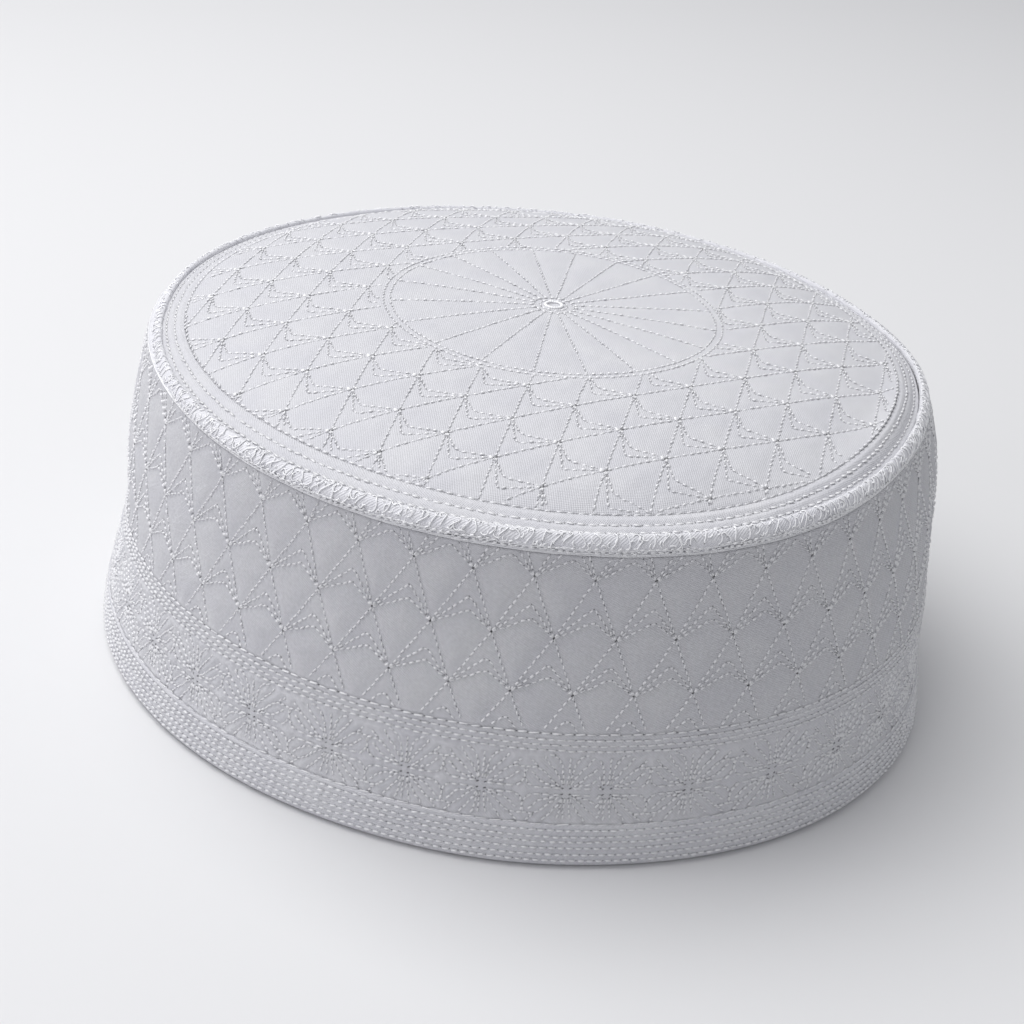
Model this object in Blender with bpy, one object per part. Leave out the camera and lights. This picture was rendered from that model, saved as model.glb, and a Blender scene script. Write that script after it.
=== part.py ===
"""A round prayer cap of quilted white cotton, standing on its hem.

Metres, +Z up. The origin is the middle of the face that the cap rests on, and the front
of the cap looks along -Y. Every height is measured from the bottom of the hem.
"""

import math

import bmesh
import bpy
from mathutils import Vector
from mathutils.geometry import delaunay_2d_cdt

MM = 0.001
GAP = 0.3 * MM
WALL = 2.0 * MM

# Outline of the cap at named heights. radius is the mean outer radius, widen and skew make
# the section slightly oval along X and along the diagonal, lean moves it to the back.
# level: height, radius, widen, skew, lean
OUTLINE = {
    "hem": (0.0, 92.2, 0.018, -0.023, -0.6),
    "rib": (29.9, 90.7, 0.000, -0.022, 0.2),
    "middle": (48.8, 88.8, -0.005, -0.022, 0.7),
    "seam": (68.0, 87.5, -0.030, -0.022, 1.3),
    "rim": (80.1, 86.6, -0.030, -0.022, 1.3),
}

# Crown
CROWN_TOP = 80.05 * MM
CROWN_EDGE = 79.3 * MM
DOME_ROUND = 2.0 * MM
DOME_DROP = 8.5 * MM
DOME_RADIUS = 87.5 * MM
CROWN_STEPS = 64
UNDERSIDE_RINGS = (0.75, 0.45, 0.15)
PATTERN_MIDDLE = Vector((2.0, -0.6)) * MM

# Medallion in the crown. Its two stitched circles are the last two of its reaches
WEDGES = 20
WEDGE_START = math.radians(-95.5)
MEDALLION_RING = 36.5 * MM
WEDGE_REACHES = (6.0 * MM, 22.0 * MM, 34.2 * MM, MEDALLION_RING)
STITCHED_CIRCLES = (2, 3)
WEDGE_PUFF = 0.7 * MM

# Rhombic cells of the crown: two sides of a cell, and one corner from the medallion's middle
CELL_SIDE_A = Vector((2.13, 14.41)) * MM
CELL_SIDE_B = Vector((11.62, 7.32)) * MM
CELL_CORNER = Vector((-18.09, -61.63)) * MM
CELL_PUFF = 0.7 * MM
CELL_REACH = 8
SHORT_SIDE = 0.955
CLEAR_OF_LINES = 1.5 * MM
LINE_SAMPLES = 8

# Inside a cell, the middle of its plain panel and the corner of the nearest quilting line,
# as shares of side b and of side a from the cell's lower left corner
PANEL_MIDDLE = (0.66, 0.68)
QUILT_CORNER = (0.30, 0.42)

# Shoulder band, roll and cords
SHOULDER_EDGE = 84.9 * MM
SHOULDER_TOP = 72.35 * MM
SHOULDER_FOOT = 70.55 * MM
CHANNEL_PUFF = 0.55 * MM
ROLL_HEIGHT = 69.35 * MM
ROLL_RADIUS = 1.35 * MM
ROLL_INSET = -0.65 * MM
ROLL_SIDES = 8
CORD_HEIGHT = 66.85 * MM
CORD_RADIUS = 0.42 * MM

# Side wall: heights of the three rows of quilting nodes, and their number round the cap
WALL_FOOT = 30.1 * MM
WALL_TOP = 65.7 * MM
COLUMNS = 48
ROW_HEIGHTS = {"upper": 61.7 * MM, "centre": 49.1 * MM, "lower": 37.9 * MM}
ROW_STEP = 0.39
FIRST_NODE = math.radians(-95.6)
PANEL_PUFF = 0.75 * MM
PANEL_TOP_RISE = 3.9 * MM

# Lower band and hem
RIB_ROWS = 4
RIB_PITCH = 1.27 * MM
RIB_PUFF = 0.4 * MM
LOWER_BAND_TOP = 29.8 * MM
FLOWER_LINE = 17.5 * MM
FLOWER_PUFF = 0.5 * MM
HEM_TOP = 10.0 * MM
HEM_ROWS = 5
HEM_PUFF = 0.35 * MM
HEM_STAND = 0.5 * MM
HEM_WALL = 2.6 * MM
RING_STEPS = 72

# Eyelet at the middle of the crown
EYELET_RADIUS = 1.3 * MM
EYELET_WIRE = 0.55 * MM
EYELET_STEPS = 20
EYELET_SIDES = 6

COTTON = (0.80, 0.80, 0.83, 1.0)
THREAD = (0.86, 0.86, 0.89, 1.0)


def clear_scene():
    for item in list(bpy.data.objects):
        bpy.data.objects.remove(item, do_unlink=True)


def material(name, colour, roughness):
    result = bpy.data.materials.new(name)
    result.use_nodes = True
    shader = result.node_tree.nodes["Principled BSDF"]
    shader.inputs["Base Color"].default_value = colour
    shader.inputs["Roughness"].default_value = roughness
    return result


def add_object(name, mesh_builder, finish):
    mesh = bpy.data.meshes.new(name)
    bmesh.ops.recalc_face_normals(mesh_builder, faces=mesh_builder.faces)
    mesh_builder.to_mesh(mesh)
    mesh_builder.free()
    mesh.shade_smooth()
    mesh.materials.append(finish)
    result = bpy.data.objects.new(name, mesh)
    bpy.context.collection.objects.link(result)
    return result


def outline_at(height):
    """Radius, widening, skew and lean of the cap's outer face at a height."""
    rows = sorted(OUTLINE.values())
    level = min(max(height / MM, rows[0][0]), rows[-1][0])
    for below, above in zip(rows, rows[1:]):
        if level <= above[0]:
            share = (level - below[0]) / (above[0] - below[0])
            radius, widen, skew, lean = (a + (b - a) * share for a, b in zip(below[1:], above[1:]))
            return radius * MM, widen, skew, lean * MM


def around(angle, height, stand=0.0):
    """A point of the side, stand metres outside the outline."""
    radius, widen, skew, lean = outline_at(height)
    oval = 1 + widen * math.cos(2 * angle) + skew * math.sin(2 * angle)
    reach = radius * oval + stand
    return Vector((reach * math.cos(angle), reach * math.sin(angle) + lean, height))


def crown_height(radius):
    """Height of the crown's smooth outer face at a distance from its middle."""
    share = radius / DOME_RADIUS
    return CROWN_TOP - DOME_ROUND * share ** 2 - DOME_DROP * share ** 4


def crown_oval(angle, radius):
    """How far the crown's oval stretches a ring of this radius at an angle."""
    _, widen, skew, _ = outline_at(CROWN_TOP)
    return 1 + (widen * math.cos(2 * angle) + skew * math.sin(2 * angle)) * radius / DOME_RADIUS


def crown_point(angle, radius, drop=0.0):
    """A point of the crown's face, or drop metres under it."""
    _, _, _, lean = outline_at(CROWN_TOP)
    reach = radius * crown_oval(angle, radius)
    return Vector((reach * math.cos(angle), reach * math.sin(angle) + lean, crown_height(radius) - drop))


def crown_height_over(spot):
    """Height of the crown's smooth face over a spot of the plan."""
    _, _, _, lean = outline_at(CROWN_TOP)
    arm = spot - Vector((0.0, lean))
    angle = math.atan2(arm.y, arm.x)
    return crown_height(arm.length / crown_oval(angle, arm.length))


def sweep_ring(name, section, point_at, steps, finish):
    """A ring: the section's points, carried round the cap by point_at(angle, point)."""
    build = bmesh.new()
    loops = []
    for step in range(steps):
        angle = 2 * math.pi * step / steps
        loops.append([build.verts.new(point_at(angle, point)) for point in section])
    for step in range(steps):
        here, after = loops[step], loops[(step + 1) % steps]
        for i in range(len(section)):
            j = (i + 1) % len(section)
            build.faces.new((here[i], here[j], after[j], after[i]))
    return add_object(name, build, finish)


def puffed_rows(low, high, rows, puff):
    """Section points up a face with rows of padding between stitch lines."""
    pitch = (high - low) / rows
    points = [(low, 0.0)]
    for row in range(rows):
        points.append((low + pitch * (row + 0.5), puff))
        points.append((low + pitch * (row + 1), 0.0))
    return points


def side_ring(name, face, wall, steps, finish):
    """A ring of the side from its outer face, given as height and stand, and its wall."""
    inner = [(face[-1][0], -wall), (face[0][0], -wall)]
    return sweep_ring(name, face + inner, lambda angle, p: around(angle, p[0], p[1]), steps, finish)


def hem_band(finish):
    face = puffed_rows(0.0, HEM_TOP, HEM_ROWS, HEM_PUFF)
    face = [(height, stand + HEM_STAND) for height, stand in face]
    return side_ring("hem_band", face, HEM_WALL - HEM_STAND, RING_STEPS, finish)


def lower_band(finish):
    foot = HEM_TOP + GAP
    ribs_foot = LOWER_BAND_TOP - (RIB_ROWS - 1) * RIB_PITCH
    flowers = [(foot, 0.0), ((foot + FLOWER_LINE) / 2, FLOWER_PUFF), (FLOWER_LINE, 0.0),
               ((ribs_foot + FLOWER_LINE) / 2, FLOWER_PUFF)]
    ribs = puffed_rows(ribs_foot, LOWER_BAND_TOP, RIB_ROWS - 1, RIB_PUFF)
    return side_ring("lower_band", flowers + ribs, WALL, RING_STEPS, finish)


def seam_cord(finish):
    """Two fine cords that lie one above the other in the seam."""
    low, high = CORD_HEIGHT - 2 * CORD_RADIUS, CORD_HEIGHT + 2 * CORD_RADIUS
    face = [(low, 0.0), (CORD_HEIGHT - CORD_RADIUS, CORD_RADIUS), (CORD_HEIGHT, 0.0),
            (CORD_HEIGHT + CORD_RADIUS, CORD_RADIUS), (high, 0.0)]
    return side_ring("seam_cord", face, WALL, RING_STEPS, finish)


def rim_roll(finish):
    section = []
    for side in range(ROLL_SIDES):
        turn = 2 * math.pi * side / ROLL_SIDES
        section.append((ROLL_HEIGHT + ROLL_RADIUS * math.sin(turn),
                        ROLL_INSET + ROLL_RADIUS * math.cos(turn)))
    return sweep_ring("rim_roll", section, lambda angle, p: around(angle, p[0], p[1]),
                      RING_STEPS, finish)


def shoulder_band(finish):
    """The sloping ring from the crown's edge to the roll, padded in two channels."""
    inner = CROWN_EDGE + GAP
    quarter = (SHOULDER_EDGE - inner) / 4
    slope = (SHOULDER_TOP - SHOULDER_FOOT) / (SHOULDER_EDGE - inner)
    section = []
    for i, puff in enumerate((0.0, CHANNEL_PUFF, 0.0, CHANNEL_PUFF, 0.0)):
        section.append((inner + quarter * i, SHOULDER_TOP - slope * quarter * i + puff))
    section.append((SHOULDER_EDGE, SHOULDER_FOOT - WALL))
    section.append((inner, SHOULDER_TOP - WALL))

    def place(angle, point):
        radius, height = point
        spot = crown_point(angle, radius)
        return Vector((spot.x, spot.y, height))

    return sweep_ring("shoulder_band", section, place, RING_STEPS, finish)


def medallion_pattern(middle):
    """Spots, their padding and the stitch lines of the medallion: spokes and a ring."""
    spots, puffs, lines = [middle], [0.0], []
    for wedge in range(WEDGES):
        for turn, puff in ((0.0, 0.0), (0.5, WEDGE_PUFF)):
            angle = WEDGE_START + 2 * math.pi * (wedge + turn) / WEDGES
            arm = Vector((math.cos(angle), math.sin(angle)))
            first = len(spots)
            spots += [middle + arm * reach for reach in WEDGE_REACHES]
            puffs += [0.0, puff, 0.0, 0.0]
            if puff == 0.0:
                lines += [(first + i, first + i + 1) for i in range(len(WEDGE_REACHES) - 1)]
    per_wedge = 2 * len(WEDGE_REACHES)
    for wedge in range(WEDGES):
        here = 1 + wedge * per_wedge
        following = 1 + (wedge + 1) % WEDGES * per_wedge
        for ring in STITCHED_CIRCLES:
            between = here + len(WEDGE_REACHES) + ring
            lines += [(here + ring, between), (between, following + ring)]
    return spots, puffs, lines


def cell_pattern(middle, count):
    """Spots, their padding and the stitch lines of the cells between medallion and edge.

    count is the number of spots before these. Each cell has a node at its lower left
    corner, the corner of its quilting line, and the padded middle of its plain panel.
    """
    _, _, _, lean = outline_at(CROWN_TOP)
    inside = {"node": (0.0, 0.0, 0.0), "quilt": (*QUILT_CORNER, 0.0), "panel": (*PANEL_MIDDLE, CELL_PUFF)}
    numbers, spots, puffs = {}, [], []
    for i in range(-CELL_REACH, 3 * CELL_REACH):
        for j in range(-2 * CELL_REACH, 2 * CELL_REACH):
            corner = middle + CELL_CORNER + CELL_SIDE_A * i + CELL_SIDE_B * j
            for kind, (along_b, along_a, puff) in inside.items():
                spot = corner + CELL_SIDE_B * along_b + CELL_SIDE_A * along_a
                from_medallion = (spot - middle).length - MEDALLION_RING
                from_edge = CROWN_EDGE * SHORT_SIDE - (spot - Vector((0.0, lean))).length
                if min(from_medallion, from_edge) > CLEAR_OF_LINES:
                    numbers[kind, i, j] = count + len(spots)
                    spots.append(spot)
                    puffs.append(puff)
    lines = []
    for kind, i, j in numbers:
        ends = [("node", i + 1, j), ("node", i, j + 1)]
        if kind != "panel":
            lines += [(numbers[kind, i, j], numbers[end]) for end in ends if end in numbers]
    return spots, puffs, lines


def clears(line, spots, middle):
    """Whether a stitch line stays outside the medallion."""
    ends = [spots[i] - middle for i in line]
    steps = [step / LINE_SAMPLES for step in range(LINE_SAMPLES + 1)]
    return min(ends[0].lerp(ends[1], share).length for share in steps) > MEDALLION_RING


def crown_panel(finish):
    """The quilted top: its face follows the pattern, and its edge and underside are rings."""
    turns = [2 * math.pi * step / CROWN_STEPS for step in range(CROWN_STEPS)]
    rim = [crown_point(turn, CROWN_EDGE) for turn in turns]
    middle = PATTERN_MIDDLE
    spots, puffs, lines = medallion_pattern(middle)
    cell_spots, cell_puffs, cell_lines = cell_pattern(middle, len(spots))
    spots += cell_spots
    puffs += cell_puffs
    lines += [line for line in cell_lines if clears(line, spots, middle)]
    flat = [point.xy for point in rim] + spots
    puffs = [0.0] * CROWN_STEPS + puffs
    edges = [(i, (i + 1) % CROWN_STEPS) for i in range(CROWN_STEPS)]
    edges += [(a + CROWN_STEPS, b + CROWN_STEPS) for a, b in lines]
    points, _, faces, origins, _, _ = delaunay_2d_cdt(flat, edges, [], 0, 1e-7)
    build = bmesh.new()
    top = []
    for point, origin in zip(points, origins):
        puff = puffs[origin[0]] if origin else 0.0
        height = crown_height_over(point) + puff
        if origin and origin[0] < CROWN_STEPS:
            height = rim[origin[0]].z
        top.append(build.verts.new((point.x, point.y, height)))
    for face in faces:
        build.faces.new([top[i] for i in face])
    border = [top[i] for i in range(CROWN_STEPS)]
    below = [build.verts.new(vert.co - Vector((0, 0, WALL))) for vert in border]
    rings = [border, below]
    for share in UNDERSIDE_RINGS:
        points = [crown_point(turn, CROWN_EDGE * share, WALL) for turn in turns[::2]]
        rings.append([build.verts.new(point) for point in points])
    for outer, inner in zip(rings, rings[1:]):
        join_rings(build, outer, inner)
    build.faces.new(rings[-1])
    return add_object("crown_panel", build, finish)


def join_rings(build, outer, inner):
    """Faces between two closed rings, of equal counts or of two to one."""
    count = len(outer)
    if len(inner) == count:
        for i in range(count):
            j = (i + 1) % count
            build.faces.new((outer[i], outer[j], inner[j], inner[i]))
        return
    for i in range(len(inner)):
        j = (i + 1) % len(inner)
        first, middle, last = outer[2 * i], outer[2 * i + 1], outer[(2 * i + 2) % count]
        build.faces.new((first, middle, inner[i]))
        build.faces.new((middle, inner[j], inner[i]))
        build.faces.new((middle, last, inner[j]))


def wall_angle(column, row):
    """Angle of a quilting node. Each row sits a share of a column on from the row above."""
    return FIRST_NODE + 2 * math.pi * (column + ROW_STEP * row) / COLUMNS


def side_wall(finish):
    """The quilted wall: a zigzag of nodes and panel tops for each row, and padded panels."""
    build = bmesh.new()
    half = math.pi / COLUMNS
    heights = list(ROW_HEIGHTS.values())

    def ring(height, row, shift=0.0, stand=0.0):
        turns = [wall_angle(column, row) + shift for column in range(COLUMNS)]
        return [build.verts.new(around(turn, height, stand)) for turn in turns]

    def both(height, row, stand=0.0):
        """Points over the nodes and over the panels, in turn."""
        nodes, panels = ring(height, row), ring(height, row, half, stand)
        return [vert for pair in zip(nodes, panels) for vert in pair]

    top = both(WALL_TOP, 0)
    foot = both(WALL_FOOT, len(heights), PANEL_PUFF)
    above = top
    for row, height in enumerate(heights):
        nodes = ring(height, row)
        tops = ring(height + PANEL_TOP_RISE, row, half)
        pads = ring(height - PANEL_TOP_RISE / 2, row, half, PANEL_PUFF)
        zigzag = [vert for pair in zip(nodes, tops) for vert in pair]
        if row == 0:
            join_rings(build, above, zigzag)
        else:
            join_pads(build, above, zigzag)
        below = []
        for i in range(COLUMNS):
            build.faces.new((nodes[i], tops[i], pads[i]))
            build.faces.new((tops[i], nodes[(i + 1) % COLUMNS], pads[i]))
            below += [nodes[i], pads[i]]
        above = below
    join_rings(build, above, foot)
    half_columns = [i / 2 for i in range(2 * COLUMNS)]
    inner_top = [build.verts.new(around(wall_angle(i, 0), WALL_TOP, -WALL)) for i in half_columns]
    last = len(heights)
    inner_foot = [build.verts.new(around(wall_angle(i, last), WALL_FOOT, -WALL)) for i in half_columns]
    join_rings(build, inner_top, top)
    join_rings(build, foot, inner_foot)
    join_rings(build, inner_foot, inner_top)
    return add_object("side_wall", build, finish)


def join_pads(build, above, zigzag):
    """Faces from one row's nodes and pads down to the next row's nodes and panel tops.

    The next row is turned by ROW_STEP of a column, so a node hangs over the panel top to
    its left and a pad over the node to its right.
    """
    count = len(above)
    for i in range(0, count, 2):
        node, pad, following = above[i], above[i + 1], above[(i + 2) % count]
        tip_before = zigzag[(i - 1) % count]
        low_node, tip = zigzag[i], zigzag[i + 1]
        build.faces.new((node, tip_before, low_node))
        build.faces.new((node, low_node, pad))
        build.faces.new((pad, low_node, following))
        build.faces.new((low_node, tip, following))


def centre_eyelet(finish):
    build = bmesh.new()
    loops = []
    base = crown_height_over(PATTERN_MIDDLE) + GAP + EYELET_WIRE * math.sin(math.pi / 3)
    for step in range(EYELET_STEPS):
        angle = 2 * math.pi * step / EYELET_STEPS
        loop = []
        for side in range(EYELET_SIDES):
            turn = 2 * math.pi * side / EYELET_SIDES
            reach = EYELET_RADIUS + EYELET_WIRE * math.cos(turn)
            loop.append(build.verts.new((PATTERN_MIDDLE.x + reach * math.cos(angle),
                                         PATTERN_MIDDLE.y + reach * math.sin(angle),
                                         base + EYELET_WIRE * math.sin(turn))))
        loops.append(loop)
    for step in range(EYELET_STEPS):
        join_rings(build, loops[step], loops[(step + 1) % EYELET_STEPS])
    return add_object("centre_eyelet", build, finish)


def main():
    clear_scene()
    cotton = material("cotton", COTTON, 0.85)
    thread = material("thread", THREAD, 0.45)
    crown_panel(cotton)
    shoulder_band(cotton)
    rim_roll(thread)
    seam_cord(thread)
    side_wall(cotton)
    lower_band(cotton)
    hem_band(cotton)
    centre_eyelet(thread)


main()
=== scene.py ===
import math

import bpy
import numpy as np
from mathutils import Matrix, Vector
from mathutils.kdtree import KDTree


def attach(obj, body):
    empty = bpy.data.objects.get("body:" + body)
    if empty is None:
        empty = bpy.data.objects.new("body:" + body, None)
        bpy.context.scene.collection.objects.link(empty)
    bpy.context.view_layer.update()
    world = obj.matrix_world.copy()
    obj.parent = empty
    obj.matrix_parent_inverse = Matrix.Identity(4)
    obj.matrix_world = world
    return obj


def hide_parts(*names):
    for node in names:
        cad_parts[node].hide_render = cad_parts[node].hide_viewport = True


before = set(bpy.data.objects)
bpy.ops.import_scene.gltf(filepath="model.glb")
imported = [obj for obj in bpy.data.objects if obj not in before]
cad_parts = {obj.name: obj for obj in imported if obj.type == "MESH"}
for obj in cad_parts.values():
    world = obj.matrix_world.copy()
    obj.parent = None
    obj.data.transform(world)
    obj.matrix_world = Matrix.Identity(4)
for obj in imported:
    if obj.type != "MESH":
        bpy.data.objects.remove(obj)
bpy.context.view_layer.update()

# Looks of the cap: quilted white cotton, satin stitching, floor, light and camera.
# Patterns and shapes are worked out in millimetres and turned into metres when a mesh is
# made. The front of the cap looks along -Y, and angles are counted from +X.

MM = 0.001
BODY = "root"
TURN = 2 * math.pi
ROUND = np.linspace(0, TURN, 361)
chance = np.random.default_rng(7)

# Outline of the cap, as in the CAD model
# height, mean radius, widening along X, widening along the diagonal, lean to the back
OUTLINE = np.array((
    (0.0, 92.2, 0.018, -0.023, -0.6),
    (29.9, 90.7, 0.000, -0.022, 0.2),
    (48.8, 88.8, -0.005, -0.022, 0.7),
    (68.0, 87.5, -0.030, -0.022, 1.3),
    (80.1, 86.6, -0.030, -0.022, 1.3),
))

# How the soft rim of this cap has settled, as bumps round the cap
# middle and spread in degrees, then millimetres outwards for the crown's edge, the middle
# row, the outer row, the roll and the seam, and millimetres upwards for the same five
SETTLED = np.array((
    (-66, 40, 1.1, 0.8, 0.25, 0.15, 0.0, -1.3, -0.95, -0.45, 0.0, 0.0),
    (-23, 28, -0.85, -1.65, -2.4, -2.4, -2.2, 2.2, 2.3, 1.2, 1.3, 2.4),
    (-170, 60, 0.0, -0.1, -0.2, -0.3, -0.2, 0.0, 0.0, 0.0, 0.4, 1.5),
    (-172, 28, 0.0, -0.4, -1.1, -1.2, -0.3, 0.0, 0.3, 0.5, -0.1, 1.6),
    (125, 45, 0.0, 0.0, 0.0, 0.0, 0.0, -0.7, -0.7, -0.7, -0.9, -0.4),
    (25, 25, 0.3, 0.2, 0.0, -0.1, 1.4, 0.0, 0.0, 0.0, 0.0, 0.0),
))
SETTLED_LINES = 5
ROLL_LINE = 3.0
SEAM_LINE = 4.0
# Ring of the crown and heights of the wall where the settling begins
SETTLED_RING = 72.0
DRAWN_HEIGHT = 45.0
LIFTED_HEIGHT = 58.0
# Where the side bulges or is drawn in: middle and spread in degrees, height and spread of
# the height, millimetres outwards
BULGES = ((4, 24, 58.0, 9.0, 2.4), (178, 30, 60.0, 8.0, 0.8), (180, 32, 30.0, 11.0, -1.8),
          (0, 32, 11.0, 18.0, -1.6))

# Crown
CROWN_TOP = 80.05
CROWN_EDGE = 79.3
DOME_RADIUS = 87.5
DOME_ROUND = 2.0
DOME_DROP = 8.5
CROWN_WIDEN, CROWN_SKEW, CROWN_LEAN = OUTLINE[-1, 2:]
PATTERN_MIDDLE = np.array((2.0, -0.6))
WALL = 2.0
# Depth of the turned edge as a share of the wall, and of the underside's relief as one of the top's
EDGE_DEPTH = 0.55
UNDER_RELIEF = 0.5

# Medallion
SPOKES = 20
SPOKE_START = math.radians(-96.4)
# How unevenly the spokes stand: times round, size and place of the largest in degrees
SPOKE_SWAY = ((1, 2.9, -24), (2, 2.0, 117))
SPOKE_INNER = 4.1
SPOKE_OUTER = 35.2
MEDALLION_RING = 36.7
EYELET_RINGS = (3.0, 4.4)

# Eyelet: the dimple that it lies in, its ring and the ridges of the ring's stitches
EYELET_REACH = 1.5
EYELET_DIMPLE = 0.4
EYELET_RADIUS = 1.8
EYELET_WIRE = 0.33
EYELET_FLAT = 0.8
EYELET_LIFT = 0.22
EYELET_STEPS = 132
EYELET_SIDES = 10
EYELET_RIDGES = 22
EYELET_RELIEF = 0.14
EYELET_UNEVEN = 0.06

# Quilting nodes of the crown, from the medallion's middle: the first node, cell sides a and b,
# and how they grow and bend towards the back as the lines fan out
# power of a, power of b, share along X, share along Y
LATTICE = np.array((
    (0, 0, -17.49, -61.71),
    (1, 0, 2.237, 13.199),
    (0, 1, 11.952, 6.597),
    (2, 0, -0.041, 0.178),
    (1, 1, 0.011, 0.213),
    (0, 2, -0.067, 0.048),
    (3, 0, 0.0071, -0.0121),
    (2, 1, 0.0009, -0.0181),
    (1, 2, 0.0076, 0.0385),
    (0, 3, -0.0017, 0.0151),
))
# Corners of the two lines inside a cell, as shares of sides a and b
INNER_CORNER = (0.261, 0.237)
OUTER_CORNERS = ((0.52, 0.24), (0.44, 0.29), (0.39, 0.37))

# Side wall: quilting nodes in columns and rows, and how a row moves on from the row above
COLUMNS = 48
FIRST_NODE = math.radians(-95.58)
ROW_STEP = 0.39
# Rows of nodes from above the seam down: height, then in degrees the size and the phase of the
# columns' uneven sway and how far the row is pulled round at the left
NODE_ROWS = np.array((
    (74.9, 1.5, -10, -4.0),
    (62.0, 1.5, -10, -3.4),
    (49.4, 0.72, -30, -1.7),
    (38.0, 0.72, -30, 0.0),
    (27.1, 0.72, -30, 0.0),
))
PULL_MIDDLE = -168
PULL_SPREAD = 26
# Corners of the two lines inside a cell, as shares of its two upper sides
WALL_INNER = (0.209, 0.2545)
WALL_OUTER = ((0.37, 0.36), (0.315, 0.37), (0.27, 0.43))
WALL_FOOT = 30.1
WALL_TOP = 66.45

# Lower band and hem
RIB_HEIGHTS = (30.0, 28.7, 27.5, 26.35)
# Angles of the flowers in front, and of the join where the band's ends meet between the two
# that stand close together. The others stand evenly from the last of these to the first
SEEN_FLOWERS = (-134.0, -123.1, -111.1, -100.9, -91.4, -81.2, -76.3, -66.1, -54.5, -43.4)
HIDDEN_FLOWERS = 24
JOIN = math.radians(-77.6)
FLOWER_LINE = 17.3
BAND_RADIUS = 91.6
LOWER_FOOT = 10.3
LOWER_TOP = 29.8
HEM_TOP = 10.0
HEM_STAND = 0.5
HEM_WALL = 2.6
HEM_ROWS = (8.8, 7.35, 6.15, 4.7, 3.2, 1.85)
# Rounded lower fold of the hem: height, stand and share of the quilting's relief
HEM_FOLD = ((0.0, -1.0, 0.0), (0.08, -0.55, 0.0), (0.3, -0.15, 0.0), (0.7, 0.15, 0.2), (1.2, 0.36, 0.6))

# Shoulder, roll and seam
SHOULDER_INNER = 79.6
SHOULDER_EDGE = 84.9
SHOULDER_TOP = 72.35
SHOULDER_FOOT = 70.55
# Rows of stitches and edges of the cloth, as shares of the shoulder's width
MIDDLE_ROW = 0.47
OUTER_ROW = 0.97
SHOULDER_START = -0.045
SHOULDER_END = 1.19
# Stand of the cloth at the crown's edge and from the middle row outwards
CHANNEL_STAND = (0.22, 0.06)
# Section of the roll, with its sloping face: degrees round it, height, stand
ROLL_SECTION = np.array((
    (-180, 69.3, -1.35), (-120, 68.3, -1.2), (-95, 67.9, -0.5), (-80, 68.0, 0.34), (-68, 68.2, 0.38),
    (-52, 68.4, 0.46), (-44, 68.55, 0.58), (-30, 68.85, 0.68), (-5, 69.4, 0.68), (20, 70.05, 0.5),
    (45, 70.7, 0.12), (70, 71.1, -0.3), (100, 71.15, -0.8), (125, 70.85, -1.15), (150, 70.3, -1.33),
    (180, 69.3, -1.35),
))
ROLL_TALL = 1.4
ROLL_RADIUS = 87.0
ROLL_SIDES = 24
GATHER_DEPTH = 0.05
# Loops of thread over the roll: degrees round the cap, millimetres from loop to loop, and how
# far a loop leans along the rim. Then the same for the small curls between them, which don't lean
LOOPS = np.array(((-180, 2.8, -2.0), (-118, 2.4, -1.8), (-98, 2.2, -0.5), (-70, 2.2, -0.1),
                  (-45, 1.4, 0.1), (-20, 1.1, 0.2), (60, 1.2, 0.0), (180, 2.8, -2.0)))
CURLS = np.array(((-180, 0.7), (-115, 0.55), (-98, 0.8), (-60, 1.1), (0, 1.2), (90, 1.0), (180, 0.7)))
LOOP_THREAD = 0.13
SEAM_THREAD = 0.12
THREAD_SIDES = 4
# How high a loop starts, how far it arches, and how deep its ends go into the cloth
LOOP_LIFT = 0.09
LOOP_ARCH = 0.10
LOOP_END = -0.15
SEAM_LOW = 66.95
SEAM_HIGH = 67.85
# Section of the seam's ridge: height above its foot and stand
SEAM_RIDGE = ((0.0, -0.5), (0.03, 0.06), (0.16, 0.16), (0.34, 0.18), (0.5, 0.2))
# Long threads along the seam: height and how far they wander. Then its rows of small stitches:
# height above the seam and pitch
SEAM_LINES = ((SEAM_LOW + 0.14, 0.05), (SEAM_LOW + 0.56, 0.16), (SEAM_HIGH + 0.75, 0.18))
SEAM_ROWS = ((-0.05, 1.7), (0.35, 1.3), (1.0, 1.4))
# Face of the seam and of the roll's foot: height and stand
SEAM_FACE = np.array(((67.0, 0.1), (67.85, 0.26), (68.2, 0.38), (68.55, 0.56), (68.85, 0.66),
                      (69.3, 0.68)))

# Length round the cap of each band's cloth, and of the hem's from fold to fold
SHOULDER_GIRTH = TURN * 82
SEAM_GIRTH = TURN * 87.3
WALL_GIRTH = TURN * 88.7
LOWER_GIRTH = TURN * 91.2
HEM_GIRTH = TURN * 92.4

# Padding: how far it puffs up, and how far from a stitch it does so
CROWN_QUILT = (0.24, 1.6)
CHANNEL_QUILT = (0.45, 0.9)
WALL_QUILT = (0.38, 1.6)
LOWER_QUILT = (0.7, 0.8)
HEM_QUILT = (0.5, 0.5)
# Outer face of a band's cloth, and its edges, which are tucked in this far
WALL_FACE = (WALL_FOOT, WALL_TOP + 0.35)
WALL_EDGES = (WALL_FOOT - 0.05, WALL_TOP + 0.4)
LOWER_FACE = (LOWER_FOOT - 0.1, LOWER_TOP + 0.1)
LOWER_EDGES = (LOWER_FOOT - 0.15, LOWER_TOP + 0.18)
TUCK = 0.4

# Thread
CROWN_PITCH = 1.6
EDGE_PITCH = 2.05
WALL_PITCH = 1.38
FLOWER_PITCH = 1.25
LINE_PITCH = 1.8
RIB_PITCH = 1.85
HEM_PITCH = 1.75
TOP_RIB_PITCH = 2.2
HEM_EDGE_PITCH = 2.6
# How far a stitch turns towards rising to the right, the way the thread is twisted, on
# quilting lines and in straight rows
TWIST = 0.35
ROW_TWIST = 0.08
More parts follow.
